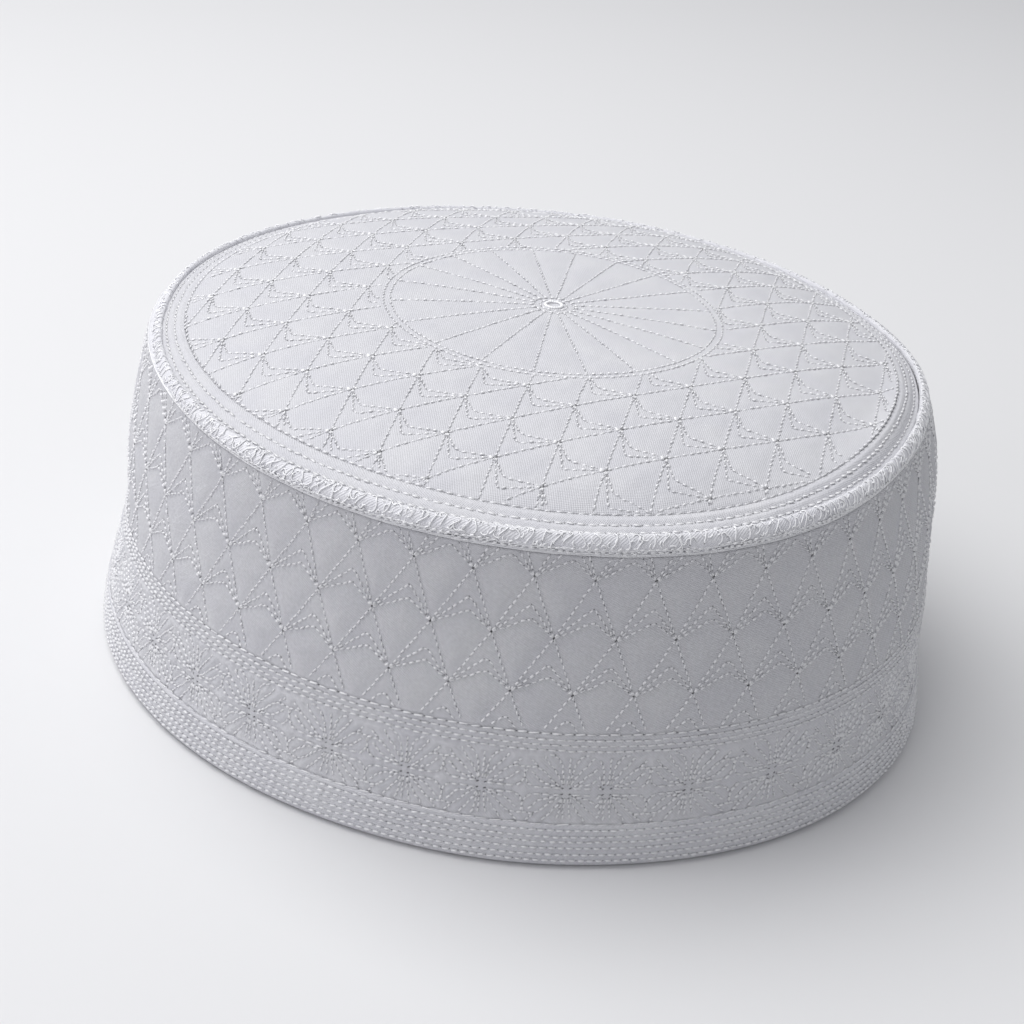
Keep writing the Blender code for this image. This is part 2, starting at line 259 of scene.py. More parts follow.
# Direction of the twist, to the right and up, and how much it takes off a stitch across it
TWIST_RIGHT = 0.8
TWIST_UP = 0.6
ACROSS_SMALLER = 0.5
# How uneven the stitches are: their scatter, their loose turn, the least and most of their
# length, width and rise, and the least and most of a pit's length and width
SCATTER = 0.05
LOOSE_TURN = 0.3
UNEVEN_STITCH = ((0.88, 1.08), (0.88, 1.12), (0.8, 1.15))
UNEVEN_PIT = ((0.75, 1.25), (0.8, 1.2))
# How each piece is sewn: width and rise of a stitch, lift above the cloth, share of its pitch
# that it fills, half length and half width of a needle pit's dark mark of painted shade, turn with the
# twist
SEWING = {
    "crown_stitches": (0.54, 0.28, 0.10, 0.62, 0.34, 0.19, TWIST),
    "crown_edge_stitches": (0.54, 0.36, 0.12, 0.76, 0.24, 0.16, TWIST),
    "shoulder_stitches": (0.54, 0.38, 0.14, 0.76, 0.22, 0.15, TWIST),
    "seam_stitches": (0.46, 0.30, 0.08, 0.72, 0.10, 0.09, TWIST),
    "wall_stitches": (0.43, 0.39, 0.08, 0.72, 0.20, 0.16, TWIST),
    "rib_edge_stitches": (0.42, 0.39, 0.15, 0.95, 0.20, 0.16, ROW_TWIST),
    "rib_stitches": (0.38, 0.42, 0.12, 0.86, 0.18, 0.18, ROW_TWIST),
    "flower_stitches": (0.49, 0.46, 0.08, 0.90, 0.22, 0.17, TWIST),
    "line_stitches": (0.43, 0.46, 0.08, 0.82, 0.17, 0.20, ROW_TWIST),
    "hem_stitches": (0.42, 0.46, HEM_STAND + 0.12, 0.78, 0.16, 0.16, ROW_TWIST),
    "hem_edge_stitches": (0.30, 0.25, 0.36, 0.98, 0.20, 0.16, ROW_TWIST),
}
# How much smaller a needle pit's painted shade is where its stitch hides it
HIDDEN_SHARE = 0.55
# Dark needle pits of painted shade at the nodes where seams meet: half length, half width, and
# how near to a node the other pits merge in its own
CROWN_NODE_PIT = (0.5, 0.4, 0.9)
WALL_NODE_PIT = (0.3, 0.2, 0.9)
FLOWER_NODE_PIT = (0.27, 0.16, 0.5)
# Cloth this near to a stitch is held right down
HELD = 0.25

# Fineness: columns round the side, rings of the crown's top and underside
SIDE_COLUMNS = 960
CROWN_RINGS = 138
UNDER_RINGS = 46

# Camera: aim is where the middle of the crown lies in the 1024 pixel frame
FRAME_PIXELS = 1024
AIM_PIXEL = (553.63, 305.95)
SENSOR = 36.0
LENS = 70.35
CAMERA_DISTANCE = 433.7
CAMERA_ELEVATION = math.radians(21.18)
CAMERA_ROLL = math.radians(5.97)

# Floor and lights, in metres: name, place, size, power and colour of each light
FLOOR_HALF = 4.0
FLOOR_COLOUR = (0.72, 0.72, 0.725)
LIGHTS = (
    ("key", (-0.45, 0.15, 1.05), 1.0, 12.0, (1.0, 1.0, 1.0)),
    ("left_fill", (-1.1, -0.5, 0.5), 0.8, 2.75, (0.95, 0.93, 1.0)),
)
LIGHT_AIM = Vector((0.0, 0.0, 0.05))
SKY_COLOUR = (0.95, 0.96, 1.0, 1.0)
SKY_STRENGTH = 0.455


# Surfaces

def unit(vectors):
    """Vectors of length one."""
    return vectors / np.linalg.norm(vectors, axis=1)[:, None]


def even_angles(count):
    """Even angles round a circle."""
    return TURN * np.arange(count) / count


def waves(count, shortest, longest, seed):
    """Random plane waves, whose sum is a smooth uneven field."""
    source = np.random.default_rng(seed)
    directions = unit(source.normal(size=(count, 3)))
    lengths = source.uniform(shortest, longest, count)
    return directions * TURN / lengths[:, None], source.uniform(0, TURN, count)


def field(points, pattern):
    """Value of a random field at each point, about -1 to 1."""
    directions, phases = pattern
    return np.sin(points @ directions.T + phases).sum(1) / math.sqrt(len(phases))


SLOW = waves(14, 35, 90, 1)
PUCKER = waves(24, 3.5, 9, 2)
SLOW_DEPTH = 0.16
PUCKER_DEPTH = 0.06


def settled(angle, line):
    """How far the rim has settled outwards and upwards, on a line of SETTLED."""
    away = (angle[:, None] - np.radians(SETTLED[:, 0]) + math.pi) % TURN - math.pi
    weight = np.exp(-(away / np.radians(SETTLED[:, 1])) ** 2)
    moves = (weight @ SETTLED[:, 2:]).reshape(-1, 2, SETTLED_LINES)
    line = np.broadcast_to(line, angle.shape)
    before = np.clip(np.floor(line).astype(int), 0, SETTLED_LINES - 2)
    share = line - before
    spot = np.arange(len(angle))
    both = moves[spot, :, before] * (1 - share)[:, None] + moves[spot, :, before + 1] * share[:, None]
    return both[:, 0], both[:, 1]


def side_point(spots, stand=0.0):
    """Points of the side, from angles and heights, stand outside the outline."""
    angle, height = spots[:, 0], spots[:, 1]
    radius, widen, skew, lean = (np.interp(height, OUTLINE[:, 0], row) for row in OUTLINE.T[1:])
    oval = 1 + widen * np.cos(2 * angle) + skew * np.sin(2 * angle)
    line = np.interp(height, (SEAM_LOW, SEAM_HIGH + 0.9), (SEAM_LINE, ROLL_LINE))
    outwards, upwards = settled(angle, line)
    drawn = np.clip((height - DRAWN_HEIGHT) / (SEAM_LOW - DRAWN_HEIGHT), 0, 1)
    lifted = np.clip((height - LIFTED_HEIGHT) / (SEAM_LOW - LIFTED_HEIGHT), 0, 1) ** 1.5
    reach = radius * oval + outwards * drawn * drawn * (3 - 2 * drawn)
    for middle, spread, level, depth, bulge in BULGES:
        away = (np.degrees(angle) - middle + 180) % 360 - 180
        reach = reach + bulge * np.exp(-(away / spread) ** 2 - ((height - level) / depth) ** 2)
    out = np.stack([np.cos(angle), np.sin(angle), 0 * angle], 1)
    smooth = out * reach[:, None] + np.stack([0 * angle, lean, height + upwards * lifted], 1)
    return smooth + out * (stand + SLOW_DEPTH * field(smooth, SLOW))[:, None]


def spots_at(first, second):
    """Spots from their two coordinates, either of which may be a single number."""
    return np.stack(np.broadcast_arrays(first, second), 1)


def crown_lobes(angle):
    """How much wider than round the crown is, as a share."""
    return CROWN_WIDEN * np.cos(2 * angle) + CROWN_SKEW * np.sin(2 * angle)


def crown_ring(x, y):
    """Which ring of the crown, by its radius before the oval, a spot of the plan lies on."""
    arm = np.hypot(x, y - CROWN_LEAN)
    return arm / (1 + crown_lobes(np.arctan2(y - CROWN_LEAN, x)) * arm / DOME_RADIUS)


def crown_height(ring):
    share = ring / DOME_RADIUS
    return CROWN_TOP - DOME_ROUND * share ** 2 - DOME_DROP * share ** 4


def crown_point(spots, stand=0.0):
    """Points of the crown over spots of the plan, stand above its smooth face."""
    x, y = spots[:, 0], spots[:, 1]
    ring = crown_ring(x, y)
    angle = np.arctan2(y - CROWN_LEAN, x)
    outwards, upwards = settled(angle, 0.0)
    near_edge = np.clip((ring - SETTLED_RING) / (CROWN_EDGE - SETTLED_RING), 0, 1) ** 2
    outwards = outwards * near_edge
    height = crown_height(ring + outwards) + upwards * near_edge
    smooth = np.stack([x + outwards * np.cos(angle), y + outwards * np.sin(angle), height], 1)
    smooth[:, 2] += stand + SLOW_DEPTH * field(smooth, SLOW)
    return smooth


def ring_spots(angles, ring):
    """Spots of the plan on a ring of the crown."""
    arm = ring * (1 + crown_lobes(angles) * ring / DOME_RADIUS)
    return spots_at(arm * np.cos(angles), arm * np.sin(angles) + CROWN_LEAN)


def shoulder_point(spots, stand=0.0):
    """Points of the shoulder, from angles and shares of its width from the crown outwards."""
    angle, share = spots[:, 0], spots[:, 1]
    outwards, upwards = settled(angle, np.interp(share, (0, MIDDLE_ROW, OUTER_ROW), (0, 1, 2)))
    ring = SHOULDER_INNER + (SHOULDER_EDGE - SHOULDER_INNER) * share + outwards
    plan = ring_spots(angle, ring)
    height = SHOULDER_TOP + (SHOULDER_FOOT - SHOULDER_TOP) * share + upwards
    points = np.stack([plan[:, 0], plan[:, 1], height], 1)
    points[:, 2] += stand + SLOW_DEPTH * field(points, SLOW)
    return points


def roll_point(spots, stand=0.0):
    """Points of the roll, from angles round the cap and angles round the roll's section."""
    angle, turn = spots[:, 0], spots[:, 1]
    degrees = (np.degrees(turn) + 180) % 360 - 180
    height = np.interp(degrees, ROLL_SECTION[:, 0], ROLL_SECTION[:, 1])
    base = np.interp(degrees, ROLL_SECTION[:, 0], ROLL_SECTION[:, 2])
    return side_point(spots_at(angle, height + stand * np.sin(turn)), base + stand * np.cos(turn))


def seam_point(spots, stand=0.0):
    """Points of the seam and of the roll's foot, stand above their face."""
    return side_point(spots, stand + np.interp(spots[:, 1], SEAM_FACE[:, 0], SEAM_FACE[:, 1]))


def outward(place, spots):
    """Unit normals of a surface at some of its spots."""
    step = np.array((1e-3, 1e-3))
    across = place(spots + step * (1, 0)) - place(spots - step * (1, 0))
    along = place(spots + step * (0, 1)) - place(spots - step * (0, 1))
    return unit(np.cross(across, along))


# Stitch lines

def needle_spots(path, place, pitch):
    """Spots where the needle goes in, at even steps of thread along a path."""
    path = np.asarray(path, float)
    fine = [np.linspace(a, b, 9)[:-1] for a, b in zip(path, path[1:])]
    fine = np.concatenate(fine + [path[-1:]])
    steps = np.linalg.norm(np.diff(place(fine), axis=0), axis=1)
    along = np.concatenate([[0.0], np.cumsum(steps)])
    marks = np.linspace(0, along[-1], max(1, round(along[-1] / pitch)) + 1)
    return np.stack([np.interp(marks, along, fine[:, k]) for k in (0, 1)], 1)


def sew(paths, place, pitch, keep=None):
    """Starts and ends of the stitches along several paths, in the surface's own spots."""
    runs = [needle_spots(path, place, pitch) for path in paths]
    starts = np.concatenate([run[:-1] for run in runs])
    ends = np.concatenate([run[1:] for run in runs])
    if keep is not None:
        kept = keep((starts + ends) / 2)
        starts, ends = starts[kept], ends[kept]
    return starts, ends


def point_tree(points):
    """A search tree of some points."""
    tree = KDTree(len(points))
    for number, point in enumerate(points):
        tree.insert(point, number)
    tree.balance()
    return tree


def quilted(distance, puff, reach):
    """Height of padding that is held down along its stitch lines."""
    free = np.maximum(distance - HELD, 0)
    return puff * (1 - np.exp(-free / reach))


def quilted_relief(place, seams, puff, reach):
    """A function that gives the height of quilted cloth above its smooth face at points."""
    shares = np.linspace(0, 1, 4)[:-1]
    spots = np.concatenate([a + (b - a) * share for a, b in seams for share in shares])
    tree = point_tree(place(spots))

    def relief(points):
        distance = np.array([tree.find(point)[2] for point in points])
        creases = quilted(distance, PUCKER_DEPTH, 1.0) * field(points, PUCKER)
        return quilted(distance, puff, reach) + creases

    return relief


def medallion_seams():
    arms = SPOKE_START + even_angles(SPOKES)
    for times, sway, largest in SPOKE_SWAY:
        arms = arms + math.radians(sway) * np.cos(times * arms - math.radians(largest))
    spokes = [np.array((SPOKE_INNER, SPOKE_OUTER))[:, None] * direction + PATTERN_MIDDLE
              for direction in spots_at(np.cos(arms), np.sin(arms))]
    circle = spots_at(np.cos(ROUND[::2]), np.sin(ROUND[::2]))
    rings = [circle * reach + PATTERN_MIDDLE for reach in (*EYELET_RINGS, SPOKE_OUTER, MEDALLION_RING)]
    return sew(spokes + rings, crown_point, CROWN_PITCH)


def crown_node(i, j):
    """Where quilting node i, j of the crown lies; parts of a cell are allowed."""
    return PATTERN_MIDDLE + (i ** LATTICE[:, 0] * j ** LATTICE[:, 1]) @ LATTICE[:, 2:]


def on_quilted_ring(spots):
    """Whether spots of the plan lie between the medallion and the edge of the crown."""
    from_middle = np.linalg.norm(spots - PATTERN_MIDDLE, axis=1)
    return (from_middle > MEDALLION_RING + 0.4) & (crown_ring(*spots.T) < CROWN_EDGE - 0.7)


def crown_cells():
    """Numbers of the cells that reach the crown."""
    cells = [(i, j) for i in range(-5, 14) for j in range(-9, 11)]
    return [cell for cell in cells if crown_ring(*crown_node(*cell)) < CROWN_EDGE + 18]


def crown_seams():
    paths = []
    for i, j in crown_cells():
        left_low, left_high, right_low = crown_node(i, j), crown_node(i + 1, j), crown_node(i, j + 1)
        inner, *outer = [crown_node(i + up, j + on) for up, on in (INNER_CORNER, *OUTER_CORNERS)]
        paths += [[left_low, left_high], [left_low, right_low], [left_high, inner, right_low],
                  [left_high, *outer, right_low]]
    return sew(paths, crown_point, CROWN_PITCH, on_quilted_ring)


def crown_nodes():
    """Spots of the crown's quilting nodes."""
    spots = np.array([crown_node(*cell) for cell in crown_cells()])
    return spots[on_quilted_ring(spots)]


def wall_node(column, row):
    """Angle and height of a quilting node of the wall; parts of a cell are allowed."""
    base = FIRST_NODE + TURN * (column + ROW_STEP * row) / COLUMNS
    height, sway, phase, pull = (np.interp(row, range(-1, 4), values) for values in NODE_ROWS.T)
    away = (math.degrees(base) - PULL_MIDDLE + 180) % 360 - 180
    angle = base + math.radians(sway) * math.sin(2 * (base + math.radians(phase)))
    angle += math.radians(pull) * math.exp(-(away / PULL_SPREAD) ** 2)
    return np.array((angle, height))


def between(low, high):
    """A test whether spots of the side lie between two heights."""
    return lambda spots: (spots[:, 1] > low) & (spots[:, 1] < high)


def wall_seams():
    """Each cell hangs from its top node: two outer lines and two lines inside them."""
    paths = []
    for row in range(-1, 3):
        for column in range(COLUMNS):
            top, left, right, inner, *outer = [
                wall_node(column - to_left, row + to_left + to_right)
                for to_left, to_right in ((0, 0), (1, 0), (0, 1), WALL_INNER, *WALL_OUTER)]
            paths += [[top, left], [top, right], [left, inner, right], [left, *outer, right]]
    return sew(paths, side_point, WALL_PITCH, between(WALL_FOOT + 0.5, WALL_TOP + 0.1))


def wall_nodes():
    """Spots of the wall's quilting nodes."""
    return np.array([wall_node(column, row) for row in range(3) for column in range(COLUMNS)])


def level_row(height, pitch, wander=0.0, phase=0.0):
    """Stitches of one row round the cap, which waves up and down by wander."""
    turns = ROUND + phase
    heights = height + wander * np.sin(turns * 23 + phase) + wander * np.sin(turns * 61 + 2 * phase)
    return sew([spots_at(turns, heights)], side_point, pitch)


# Lines of one quarter of a flower, from its middle: the tall petal's two sides, the side petal
# and its arch, the tip, the small leaf and the spindle between two flowers
FLOWER_CURVES = (
    ((0.55, 1.6), (0.8, 3.2), (1.0, 4.7), (1.4, 6.2), (2.0, 7.2), (2.9, 8.0), (4.0, 8.3)),
    ((0.75, 1.5), (1.3, 2.8), (2.1, 3.9), (2.8, 4.95), (3.6, 5.85), (4.3, 6.8), (4.9, 7.9)),
    ((1.3, 1.1), (2.1, 1.75), (2.9, 2.4), (3.9, 3.6), (4.9, 4.5), (5.7, 5.2), (6.6, 5.25), (8.4, 5.1)),
    ((6.0, 5.5), (6.9, 6.3), (7.4, 7.0)),
    ((2.0, 1.2), (3.0, 1.5), (4.1, 1.65), (5.15, 2.1), (5.9, 2.9), (6.6, 3.7), (7.2, 4.3)),
    ((6.7, 0.85), (7.6, 1.45), (8.05, 2.1), (8.3, 3.0), (8.3, 4.0), (8.0, 4.9)),
)
UPRIGHT_LINE = ((0.1, 1.5), (0.2, 4.5), (0.1, 7.7))
DOUBLE_LINE = ((1.0, 0.78), (6.5, 0.8))
FLOWER_HALF = 8.3
FLOWER_CUT = 6.5
# Needle pits at the middle of a flower, each marked with painted shade
FLOWER_PIT = (0.7, 0.67)


def flower_angles():
    """Angles of all flowers, and how far each reaches to its left and right in millimetres."""
    seen = np.radians(SEEN_FLOWERS)
    rest = np.linspace(seen[-1], seen[0] + TURN, HIDDEN_FLOWERS + 2)[1:-1]
    angles = np.concatenate([seen, rest])
    right = (np.roll(angles, -1) - angles) % TURN * BAND_RADIUS / 2
    left = np.roll(right, 1)
    after = np.searchsorted(seen, JOIN)
    right[after - 1] = (JOIN - angles[after - 1]) * BAND_RADIUS
    left[after] = (angles[after] - JOIN) * BAND_RADIUS
    return list(zip(angles, left, right))


def fitted(shape, reach):
    """A line of a flower, stretched to the next flower or cut off at the band's join."""
    spots = np.array(shape)
    if reach > FLOWER_CUT:
        return spots * (reach / FLOWER_HALF, 1)
    fine = np.concatenate([np.linspace(a, b, 9) for a, b in zip(spots, spots[1:])])
    return fine[fine[:, 0] < reach]


def flower_seams():
    """Stitches of the curved lines and of the straight double line."""
    curves, lines = [], []

    def draw(group, middle, spots):
        if len(spots) > 1:
            group.append(spots_at(middle + spots[:, 0] / BAND_RADIUS, FLOWER_LINE + spots[:, 1]))

    for middle, left, right in flower_angles():
        for up in (-1, 1):
            for across, reach in ((-1, left), (1, right)):
                for shape in FLOWER_CURVES:
                    draw(curves, middle, fitted(shape, reach) * (across, up))
                draw(lines, middle, fitted(DOUBLE_LINE, reach) * (across, up))
            draw(curves, middle, np.array(UPRIGHT_LINE) * (up, up))
    inside = between(LOWER_FOOT + 0.4, RIB_HEIGHTS[-1] - 0.5)
    return sew(curves, side_point, FLOWER_PITCH, inside), sew(lines, side_point, LINE_PITCH)


def flower_pits():
    """Spots of the four needle pits at the middle of each flower, marked with painted shade."""
    return np.array([(middle + across * FLOWER_PIT[0] / BAND_RADIUS, FLOWER_LINE + up * FLOWER_PIT[1])
                     for middle, _, _ in flower_angles() for across in (-1, 1) for up in (-1, 1)])


# Meshes

def add_object(name, data):
    result = bpy.data.objects.new(name, data)
    bpy.context.collection.objects.link(result)
    return result


def add_mesh(name, points, faces, finish, uvs=None, marks=None):
    """A smooth mesh from points in millimetres. marks picks a material for each face."""
    mesh = bpy.data.meshes.new(name)
    mesh.from_pydata((points * MM).tolist(), [], [face.tolist() for face in faces])
    for material in finish:
        mesh.materials.append(material)
    if uvs is not None:
        layer = mesh.uv_layers.new(name="cloth")
        layer.data.foreach_set("uv", (np.concatenate(uvs) * MM).ravel().astype(np.float32))
    if marks is not None:
        mesh.polygons.foreach_set("material_index", marks.astype(np.int32))
    mesh.shade_smooth()
    mesh.update()
    result = add_object(name, mesh)
    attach(result, BODY)
    return result


def ring_faces(rows, columns):
    """Quads of a ring whose section is closed too, and each corner's row and column."""
    row, column = (grid.ravel() for grid in np.meshgrid(range(rows), range(columns), indexing="ij"))
    row = np.stack([row, row, row + 1, row + 1], 1)
    column = np.stack([column, column + 1, column + 1, column], 1)
    return row % rows * columns + column % columns, row, column


def band_shell(name, node, section, place, girth, relief, finish, columns=SIDE_COLUMNS):
    """A closed cotton band that stands for a node of the CAD model.

    Rows of section are spot, stand and share of relief. girth is the length round the band.
    """
    angles = even_angles(columns)
    points, along = [], [0.0]
    for number, (spot, stand, share) in enumerate(section):
        spots = spots_at(angles, spot)
        lift = stand
        if share > 0:
            lift = stand + share * relief(place(spots))
        points.append(place(spots, lift))
        if number:
            along.append(along[-1] + np.linalg.norm(points[-1][0] - points[-2][0]))
    faces, row, column = ring_faces(len(section), columns)
    lengths = np.array(along + [along[-1] + 1.0])
    uvs = np.stack([column * girth / columns, lengths[row]], 2)
    result = add_mesh(name, np.concatenate(points), faces, [finish], uvs)
    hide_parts(node)
    return result


def rows_between(low, high, step, stand=0.0, share=1.0):
    """Section rows of a face from low to high."""
    count = max(2, round((high - low) / step) + 1)
    return [(spot, stand, share) for spot in np.linspace(low, high, count)]


def upright_section(face, edges, step, inner_step):
    """Section of an upright band: its outer face, its tucked edges and its inside."""
    low, high = edges
    return [(low, -TUCK, 0.0), *rows_between(*face, step), (high, -TUCK, 0.0),
            *rows_between(low, high, inner_step, -WALL, 0.0)[::-1]]


# Grain of one stitch: along its length, across and up, as shares of half length, width, rise
GRAIN = np.array((
    (-1.0, 0.0, -0.35),
    (-0.74, -0.5, -0.25), (-0.68, 0.0, 0.95), (-0.74, 0.5, -0.25),
    (0.74, -0.5, -0.25), (0.68, 0.0, 1.0), (0.74, 0.5, -0.25),
    (1.0, 0.0, -0.35),
))
GRAIN_FACES = ((0, 2, 1), (0, 3, 2), (0, 1, 3), (7, 4, 5), (7, 5, 6), (7, 6, 4),
               (1, 2, 5, 4), (2, 3, 6, 5), (3, 1, 4, 6))
# Low dark peak that marks a needle hole with painted shade, in the same order
PIT_SHADE = np.array(((0.0, 0.0, 0.05), (0.9, 0.75, -0.12), (-0.9, 0.75, -0.12), (-0.9, -0.75, -0.12),
                (0.9, -0.75, -0.12)))
PIT_SHADE_FACES = ((0, 1, 2), (0, 2, 3), (0, 3, 4), (0, 4, 1), (4, 3, 2, 1))


def copies(shape, faces, count):
    """Face lists of many copies of a small shape."""
    offsets = np.arange(count)[:, None] * len(shape)
    return [np.array(face) + offset for offset in offsets for face in faces]


def twist_direction(up):
    """Direction on the cloth that rises to the right, the way the thread is twisted."""
    right = np.cross((0.0, 0.0, 1.0), up)
    right[np.linalg.norm(right, axis=1) < 0.35] = (1.0, 0.0, 0.0)
    right = unit(right)
    return TWIST_RIGHT * right + TWIST_UP * np.cross(up, right)


def pits_at(spots, place, lift, along, long, wide):
    """Points of the pits' dark peaks of painted shade at some spots, each turned to lie along its
    stitch.
    """
    count = len(spots)
    up = outward(place, spots)
    side = np.cross(up, along)
    axes = np.stack([np.cross(side, up), side, up], 1)
    long_share, wide_share = [chance.uniform(*limits, count) for limits in UNEVEN_PIT]
    size = np.stack([long * long_share, wide * wide_share, np.ones(count)], 1)
    return place(spots, lift)[:, None] + (PIT_SHADE[None] * size[:, None]) @ axes


def add_stitches(name, seams, place, finish, nodes=None, node_pit=None, clear=None):
    """Joined mesh of the stitches of some seams, with a dark pit of painted shade where the needle went
    in.

    finish is the thread's material and the pits' painted shade. nodes are spots where seams meet.
    Stitches along the thread's twist are long and hide their pits. Where clear is given, the
    stitches in that direction hide them.
    """
    width, rise, lift, fill, pit_long, pit_wide, twisted = SEWING[name]
    starts = np.concatenate([a for a, _ in seams])
    ends = np.concatenate([b for _, b in seams])
    middle = (starts + ends) / 2
    count = len(starts)
    up = outward(place, middle)
    centre = place(middle, lift) + chance.normal(0, SCATTER, (count, 3))
    along = place(ends) - place(starts)
    length = np.linalg.norm(along, axis=1)
    along /= length[:, None]
    twist = twist_direction(up)
    slant = (along * twist).sum(1)
    hidden = slant ** 2 if clear is None else (along @ clear) ** 2
    along = unit(along * np.where(slant < 0, -1, 1)[:, None] + twisted * twist)
    across = np.cross(up, along)
    turned = chance.normal(0, LOOSE_TURN * twisted, count)[:, None]
    cosine, sine = np.cos(turned), np.sin(turned)
    along, across = along * cosine + across * sine, across * cosine - along * sine
    full = 1 - ACROSS_SMALLER * twisted * (1 - slant ** 2)
    long_share, wide_share, rise_share = [chance.uniform(*limits, count) for limits in UNEVEN_STITCH]
    sizes = np.stack([length * fill * full / 2 * long_share, width * full * wide_share,
                      rise * full * rise_share], 1)
    grains = centre[:, None] + (GRAIN[None] * sizes[:, None]) @ np.stack([along, across, up], 1)
    needle = np.ones(count, bool)
    if nodes is not None:
        tree = point_tree(place(nodes))
        needle = np.array([tree.find(point)[2] > node_pit[2] for point in place(starts)])
    open_share = 1 - HIDDEN_SHARE * hidden[needle]
    pits = pits_at(starts[needle], place, lift, along[needle], pit_long * open_share,
                   pit_wide * open_share)
    # Larger dark marks of painted shade where the seams' holes meet at the nodes
    if nodes is not None:
        level = twist_direction(outward(place, nodes))
        pits = np.concatenate([pits, pits_at(nodes, place, lift + 0.1, level, *node_pit[:2])])
    faces = copies(GRAIN, GRAIN_FACES, count)
    pit_faces = [face + count * len(GRAIN) for face in copies(PIT_SHADE, PIT_SHADE_FACES, len(pits))]
    points = np.concatenate([grains.reshape(-1, 3), pits.reshape(-1, 3)])
    marks = np.array([0] * len(faces) + [1] * len(pit_faces))
    result = add_mesh(name, points, faces + pit_faces, finish, marks=marks)
    return result


# Materials

# Length of one wave of the wave texture at scale 1
WAVE = 0.314


def set_inputs(node, settings):
    """Set a node's inputs by name, where _ stands for a space."""
    for name, value in settings.items():
        node.inputs[name.replace("_", " ")].default_value = value


def new_material(name, colour, **settings):
    """A material, its node tree and its shader."""
    material = bpy.data.materials.new(name)
    material.use_nodes = True
    shader = material.node_tree.nodes["Principled BSDF"]
    set_inputs(shader, {"Base_Color": (*colour, 1.0), **settings})
    return material, material.node_tree, shader


def texture(tree, kind, place, **settings):
    node = tree.nodes.new("ShaderNode" + kind)
    set_inputs(node, settings)
    tree.links.new(place, node.inputs["Vector"])
    return node


def add_scaled(tree, value, factor, base):
    """value times factor plus base."""
    node = tree.nodes.new("ShaderNodeMath")
    node.operation = "MULTIPLY_ADD"
    tree.links.new(value, node.inputs[0])
    node.inputs[1].default_value = factor
    tree.links.new(base, node.inputs[2])
    return node.outputs["Value"]


def raised(tree, height, strength, distance):
    """Bump node that raises the surface by a height."""
    node = tree.nodes.new("ShaderNodeBump")
    set_inputs(node, {"Strength": strength, "Distance": distance})
    tree.links.new(height, node.inputs["Height"])
    return node


def graded(tree, value, low, high, start=0.0, end=1.0):
    """Colour that goes from low to high as a value goes from start to end."""
    node = tree.nodes.new("ShaderNodeValToRGB")
    for element, position, colour in zip(node.color_ramp.elements, (start, end), (low, high)):
        element.position = position
        element.color = (*colour, 1)
    tree.links.new(value, node.inputs["Fac"])
    return node.outputs["Color"]


def darkened(tree, colour, shade, factor):
    """A colour multiplied by a shade."""
    node = tree.nodes.new("ShaderNodeMix")
    node.data_type = "RGBA"
    node.blend_type = "MULTIPLY"
    node.inputs["Factor"].default_value = factor
    tree.links.new(colour, node.inputs[6])
    tree.links.new(shade, node.inputs[7])
    return node.outputs[2]


def cotton_material(name, twill_turn, tone, grain, nap, crumple, crepe_shade_tone=0.84):
    """Woven cotton: twill lines and single threads in real size, soft sheen, uneven bleach.

    twill_turn is in degrees. nap and crumple are how deep the threads and the small creases
    are, in metres. tone is the cotton's lightness, set for each piece as painted light and shade.
    The last argument is the darkest tone of the fibre noise: painted shade between the threads and
    in the fine crepe, partly also the fibres' own uneven tone.
    """
    colour = (tone, tone, tone * 1.035)
    material, tree, shader = new_material(name, colour, Roughness=0.82, Specular_IOR_Level=0.25,
                                          Sheen_Weight=0.25, Sheen_Roughness=0.4)
    flat = tree.nodes.new("ShaderNodeUVMap")
    flat.uv_map = "cloth"
    turned = texture(tree, "Mapping", flat.outputs["UV"], Scale=(1000, 1000, 1000),
                     Rotation=(0, 0, math.radians(twill_turn)))
    place = turned.outputs["Vector"]
    twill = texture(tree, "TexWave", place, Scale=WAVE / 0.42, Distortion=1.2, Detail=2.0,
                    Detail_Scale=1.5)
    yarn = texture(tree, "TexWave", place, Scale=WAVE / 0.30, Distortion=0.8, Detail=1.0)
    yarn.bands_direction = "Y"
    fibre = texture(tree, "TexNoise", place, Scale=1.5, Detail=4.0, Roughness=0.65)
    cloud = texture(tree, "TexNoise", place, Scale=0.09, Detail=3.0)
    creased = texture(tree, "TexNoise", place, Scale=0.42, Detail=3.0, Distortion=0.6)
    woven = add_scaled(tree, yarn.outputs["Fac"], 0.6, twill.outputs["Fac"])
    threads = raised(tree, add_scaled(tree, fibre.outputs["Fac"], grain, woven), 0.4, nap)
    folds = raised(tree, creased.outputs["Fac"], 0.6, crumple)
    tree.links.new(folds.outputs["Normal"], threads.inputs["Normal"])
    tree.links.new(threads.outputs["Normal"], shader.inputs["Normal"])
    dull = np.multiply(colour, (0.95, 0.95, 0.965))
    bleached = graded(tree, cloud.outputs["Fac"], dull, colour, 0.35, 0.65)
    lined = darkened(tree, bleached, twill.outputs["Color"], 0.10)
    # Fibre noise darkens the colour between the threads: painted shade of the fine crepe, partly also
    # the fibres' own uneven tone
    fibre_shade = graded(tree, fibre.outputs["Fac"], (crepe_shade_tone, crepe_shade_tone, crepe_shade_tone), (1, 1, 1), 0.3, 0.7)
    tree.links.new(darkened(tree, lined, fibre_shade, 1.0), shader.inputs["Base Color"])
    return material


